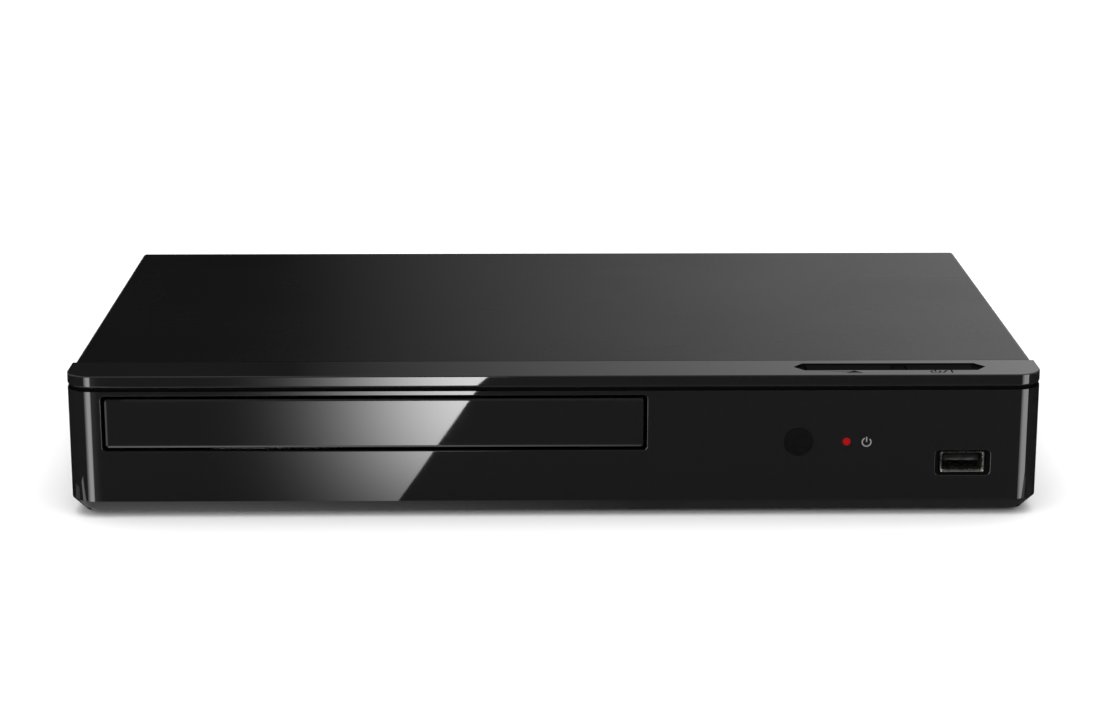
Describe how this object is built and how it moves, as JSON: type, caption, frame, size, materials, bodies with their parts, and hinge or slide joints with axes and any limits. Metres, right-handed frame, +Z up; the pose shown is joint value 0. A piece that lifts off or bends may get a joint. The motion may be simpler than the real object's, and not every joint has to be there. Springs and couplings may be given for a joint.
{
  "type": "disc player",
  "caption": "Slim tabletop disc player with a gloss black front, a motorised loading tray, top-edge buttons, a USB socket and rear signal sockets.",
  "frame": {"origin": "on the table, under the middle of the overall box", "axes": "+X to the viewer's right when facing the front, -Y out of the front panel, +Z up"},
  "size_m": [0.312, 0.1864, 0.047],
  "materials": {
    "gloss_panel": "gloss black moulding",
    "button_plastic": "satin black moulding",
    "ir_plastic": "dark infrared-pass plastic",
    "red_lens": "clear red plastic",
    "painted_steel": "fine-grained black paint on sheet steel",
    "zinc_steel": "zinc-coated sheet steel",
    "ground_steel": "ground steel rod",
    "rubber": "black rubber",
    "nickel": "nickel plating",
    "black_plastic": "matt black plastic",
    "board": "green solder resist on laminate",
    "chip": "moulded epoxy",
    "aluminium": "extruded, plain",
    "ferrite": "ferrite core with taped winding",
    "capacitor_sleeve": "shrunk sleeve",
    "socket_plastic": "natural nylon",
    "cable": "flat flexible cable and insulated wire",
    "loader_plastic": "fine-textured black plastic",
    "gear_plastic": "natural acetal",
    "motor_can": "plated steel can",
    "magnet": "plated magnet",
    "pickup_casting": "die casting",
    "lens_glass": "coated glass",
    "screw_steel": "blackened steel"
  },
  "bodies": {
    "case": {"front_panel": "gloss_panel", "ir_window": "ir_plastic", "led_lens": "red_lens", "button_board": "board", "tact_switches": "black_plastic", "top_cover": "painted_steel", "chassis_base": "zinc_steel", "feet": "rubber", "rear_panel": "painted_steel", "hdmi_shell": "nickel", "hdmi_insert": "black_plastic", "lan_shell": "nickel", "lan_insert": "black_plastic", "coax_barrel": "nickel", "coax_body": "black_plastic", "ac_inlet": "black_plastic", "inlet_pins": "nickel", "usb_shell": "nickel", "usb_insert": "black_plastic", "front_board": "board", "ir_receiver": "black_plastic", "indicator_diode": "red_lens", "main_board": "board", "power_board": "board", "main_chips": "chip", "chip_heat_sink": "aluminium", "transformer": "ferrite", "capacitors": "capacitor_sleeve", "power_heat_sink": "aluminium", "cable_sockets": "socket_plastic", "front_flex": "cable", "supply_wires": "cable", "loading_motor": "motor_can", "drive_belt": "rubber", "loader_frame": "loader_plastic", "clamp_bridge": "zinc_steel", "board_screws": "screw_steel", "loader_screws": "screw_steel", "cover_screws": "screw_steel"},
    "tray": {"disc_tray": "loader_plastic", "tray_door": "gloss_panel"},
    "tray_gear": {"tray_gear": "gear_plastic"},
    "pulley_gear": {"pulley_gear": "gear_plastic"},
    "motor_pulley": {"motor_pulley": "gear_plastic"},
    "cam_slider": {"cam_slider": "gear_plastic"},
    "traverse": {"traverse_holder": "loader_plastic", "damper_bushes": "rubber", "traverse_plate": "zinc_steel", "guide_rods": "ground_steel", "sled_motor": "motor_can", "spindle_motor": "motor_can"},
    "turntable": {"turntable": "motor_can"},
    "pickup": {"pickup_body": "pickup_casting", "objective_lens": "lens_glass"},
    "lead_screw": {"lead_screw": "ground_steel"},
    "clamper": {"clamper": "gear_plastic", "clamper_magnet": "magnet"},
    "open_close_button": {"open_close_button": "button_plastic"},
    "power_button": {"power_button": "button_plastic"}
  },
  "joints": [
    {"name": "tray_slide", "type": "slide", "parent": "case", "child": "tray", "axis": [0, -1, 0], "range_m": [0, 0.13]},
    {"name": "tray_gear_turn", "type": "hinge", "parent": "case", "child": "tray_gear", "pos_m": [-0.0985, -0.0735, 0.0179], "axis": [0, 0, 1], "range_deg": [0, 828.6]},
    {"name": "pulley_gear_turn", "type": "hinge", "parent": "case", "child": "pulley_gear", "pos_m": [-0.0785, -0.0735, 0.0179], "axis": [0, 0, 1], "range_deg": [-1538, 0]},
    {"name": "motor_turn", "type": "hinge", "parent": "case", "child": "motor_pulley", "pos_m": [-0.0465, -0.0715, 0.0213], "axis": [0, 0, 1], "range_deg": [-3843.5, 0]},
    {"name": "traverse_lift", "type": "hinge", "parent": "case", "child": "traverse", "pos_m": [-0.0575, 0.05695, 0.0181], "axis": [-1, 0, 0], "range_deg": [0, 3.89]},
    {"name": "cam_shift", "type": "slide", "parent": "case", "child": "cam_slider", "axis": [1, 0, 0], "range_m": [0, 0.01244]},
    {"name": "turntable_spin", "type": "hinge", "parent": "traverse", "child": "turntable", "pos_m": [-0.0575, -0.02396, 0.0126], "axis": [0, -0.0678, 0.9977], "continuous": true},
    {"name": "pickup_slide", "type": "slide", "parent": "traverse", "child": "pickup", "axis": [0, 0.9977, 0.0678], "range_m": [0, 0.034]},
    {"name": "lead_screw_turn", "type": "hinge", "parent": "traverse", "child": "lead_screw", "pos_m": [-0.0315, 0.0057, 0.01853], "axis": [0, 0.9977, 0.0678], "range_deg": [0, 4081]},
    {"name": "clamper_spin", "type": "hinge", "parent": "case", "child": "clamper", "pos_m": [-0.0575, -0.02415, 0.037], "axis": [0, 0, 1], "continuous": true},
    {"name": "open_close_press", "type": "slide", "parent": "case", "child": "open_close_button", "axis": [0, 0, -1], "range_m": [0, 0.0006], "stiffness_N_per_m": 2000},
    {"name": "power_press", "type": "slide", "parent": "case", "child": "power_button", "axis": [0, 0, -1], "range_m": [0, 0.0006], "stiffness_N_per_m": 2000}
  ],
  "couplings": [
    {"joint": "tray_gear_turn", "follows": "tray_slide", "rad_per_m": 111.11},
    {"joint": "pulley_gear_turn", "follows": "tray_slide", "rad_per_m": -206.35},
    {"joint": "motor_turn", "follows": "tray_slide", "rad_per_m": -515.87},
    {"joint": "cam_shift", "follows": "traverse_lift", "m_per_rad": 0.1819},
    {"joint": "lead_screw_turn", "follows": "pickup_slide", "rad_per_m": 2094.4}
  ]
}
